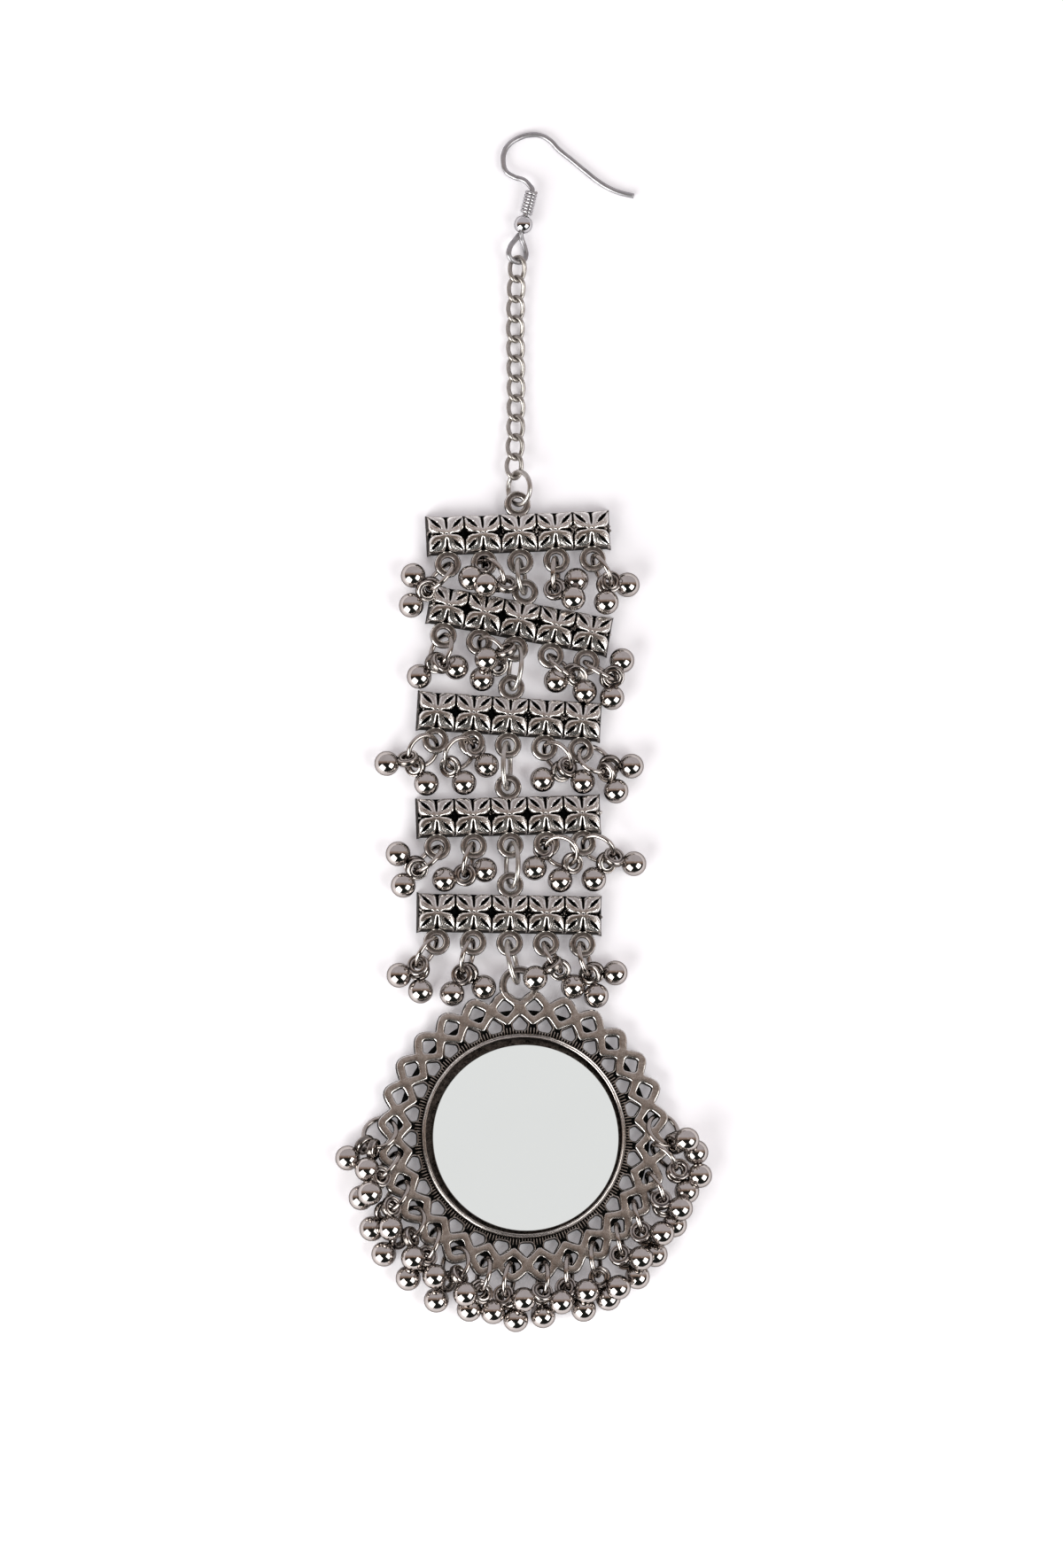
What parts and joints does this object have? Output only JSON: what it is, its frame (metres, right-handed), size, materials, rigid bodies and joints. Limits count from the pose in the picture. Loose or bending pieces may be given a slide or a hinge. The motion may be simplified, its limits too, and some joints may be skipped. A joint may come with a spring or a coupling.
{
  "type": "maang tikka",
  "caption": "Oxidised silver hair jewel: a hair hook on a curb chain, flower bars linked one under another, and a round mirror in a pierced frame, hung with ghungroo balls.",
  "frame": {"origin": "middle of the mirror frame's flat back, which lies on the table", "axes": "+Y from the mirror to the hair hook, +Z out of the mirror's face, +X to the wearer's left as seen"},
  "size_m": [0.0628, 0.1958, 0.0074],
  "materials": {
    "old_silver": "cast, oxidised dark in the recesses and worn bright on top",
    "bright_silver": "bright drawn wire",
    "satin_silver": "satin",
    "ball_silver": "polished",
    "mirror_glass": "flat mirror glass"
  },
  "bodies": {
    "root": {"bar_1": "old_silver", "bar_1_drops_1": "ball_silver", "bar_1_drops_2": "ball_silver", "bar_1_drops_4": "ball_silver", "bar_1_drops_5": "ball_silver", "bar_2": "old_silver", "bar_2_drops_1": "ball_silver", "bar_2_drops_2": "ball_silver", "bar_2_drops_4": "ball_silver", "bar_2_drops_5": "ball_silver", "bar_3": "old_silver", "bar_3_drops_1": "ball_silver", "bar_3_drops_2": "ball_silver", "bar_3_drops_4": "ball_silver", "bar_3_drops_5": "ball_silver", "bar_4": "old_silver", "bar_4_drops_1": "ball_silver", "bar_4_drops_2": "ball_silver", "bar_4_drops_4": "ball_silver", "bar_4_drops_5": "ball_silver", "bar_5": "old_silver", "bar_5_drops_1": "ball_silver", "bar_5_drops_2": "ball_silver", "bar_5_drops_4": "ball_silver", "bar_5_drops_5": "ball_silver", "chain": "satin_silver", "chain_ring": "satin_silver", "frame_drops_01": "ball_silver", "frame_drops_02": "ball_silver", "frame_drops_03": "ball_silver", "frame_drops_04": "ball_silver", "frame_drops_05": "ball_silver", "frame_drops_06": "ball_silver", "frame_drops_07": "ball_silver", "frame_drops_08": "ball_silver", "frame_drops_09": "ball_silver", "frame_drops_10": "ball_silver", "frame_drops_11": "ball_silver", "frame_drops_12": "ball_silver", "frame_drops_13": "ball_silver", "frame_drops_14": "ball_silver", "frame_drops_15": "ball_silver", "frame_drops_16": "ball_silver", "frame_ring": "satin_silver", "hair_hook": "bright_silver", "hook_bead": "bright_silver", "hook_coil": "bright_silver", "mirror": "mirror_glass", "mirror_frame": "old_silver", "ring_under_bar_1": "satin_silver", "ring_under_bar_2": "satin_silver", "ring_under_bar_3": "satin_silver", "ring_under_bar_4": "satin_silver"}
  },
  "joints": []
}
